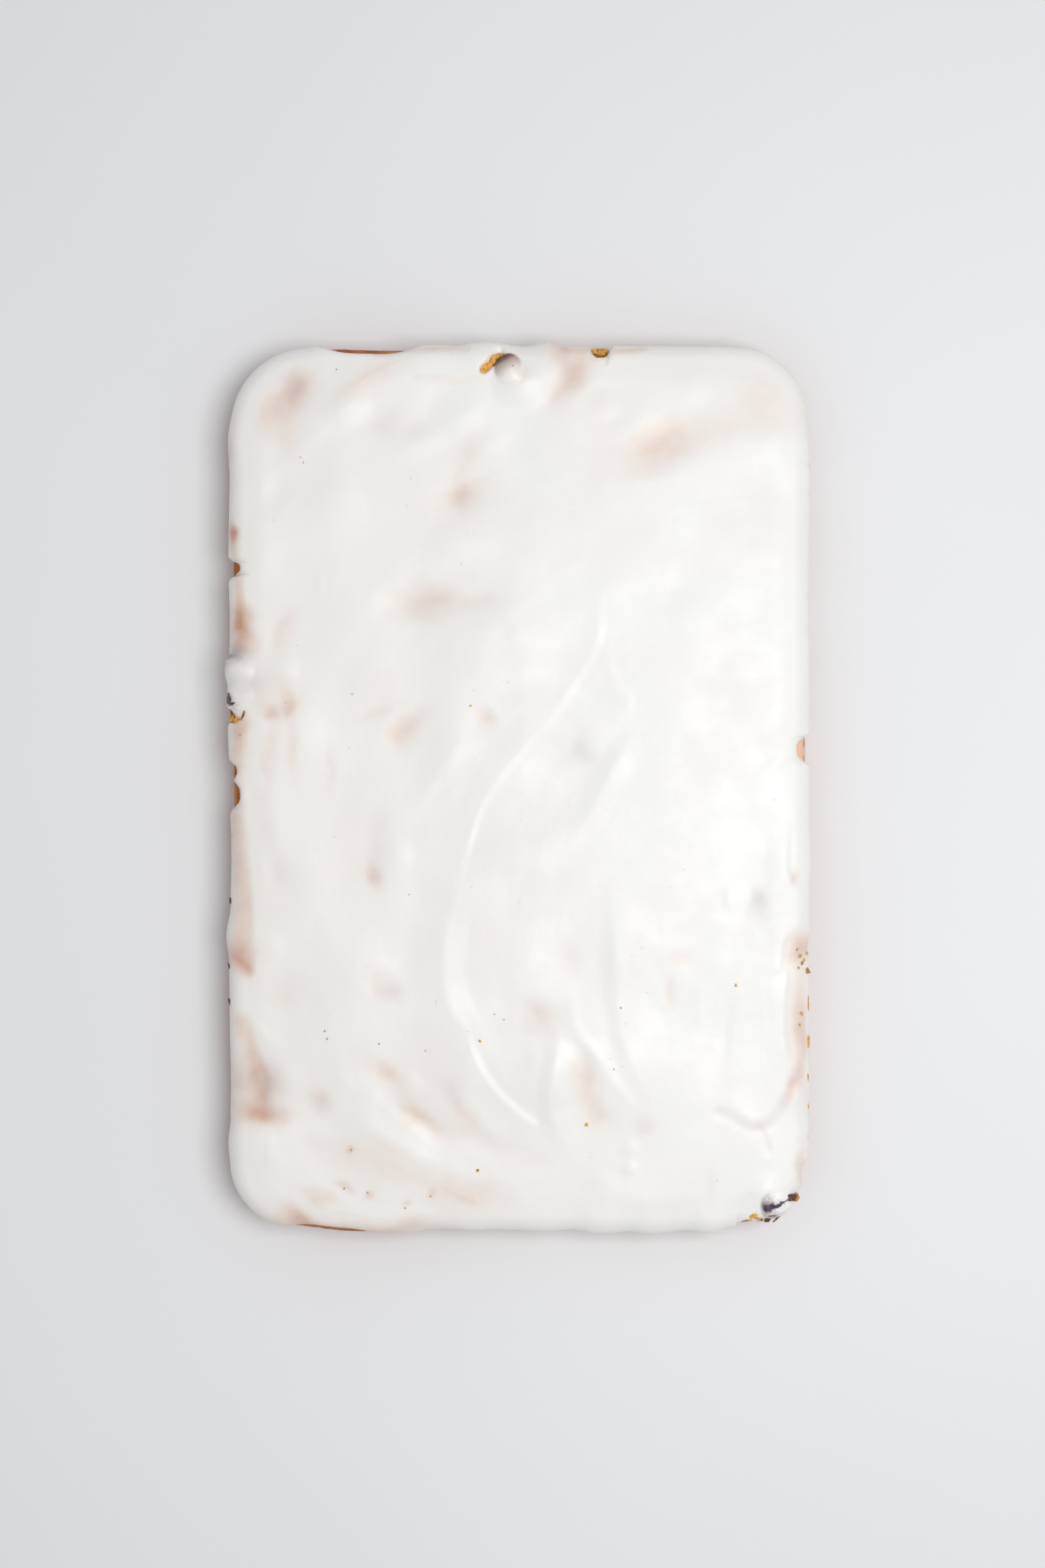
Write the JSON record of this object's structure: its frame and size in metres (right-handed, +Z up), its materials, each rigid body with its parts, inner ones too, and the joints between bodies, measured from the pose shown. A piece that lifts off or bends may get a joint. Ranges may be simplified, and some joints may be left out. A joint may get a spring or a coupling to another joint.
{
  "type": "sheet cake",
  "caption": "Oblong sheet cake with rounded corners, golden crust, spread white icing and a few berries breaking its surface.",
  "frame": {"origin": "centre of the underside, on the surface the cake lies on", "axes": "+Z up, +Y along the cake's long side towards the edge with the single berry, +X across it"},
  "size_m": [0.2459, 0.3758, 0.0342],
  "materials": {
    "crust": "baked golden-brown crumb, matte",
    "icing": "set white sugar icing, soft satin gloss",
    "berry": "baked berry skin, dark purple, thinly glazed"
  },
  "bodies": {
    "root": {"cake": "crust", "icing": "icing", "berry_top": "berry", "berry_left_upper": "berry", "berry_left_lower": "berry", "berry_corner": "berry"}
  },
  "joints": []
}
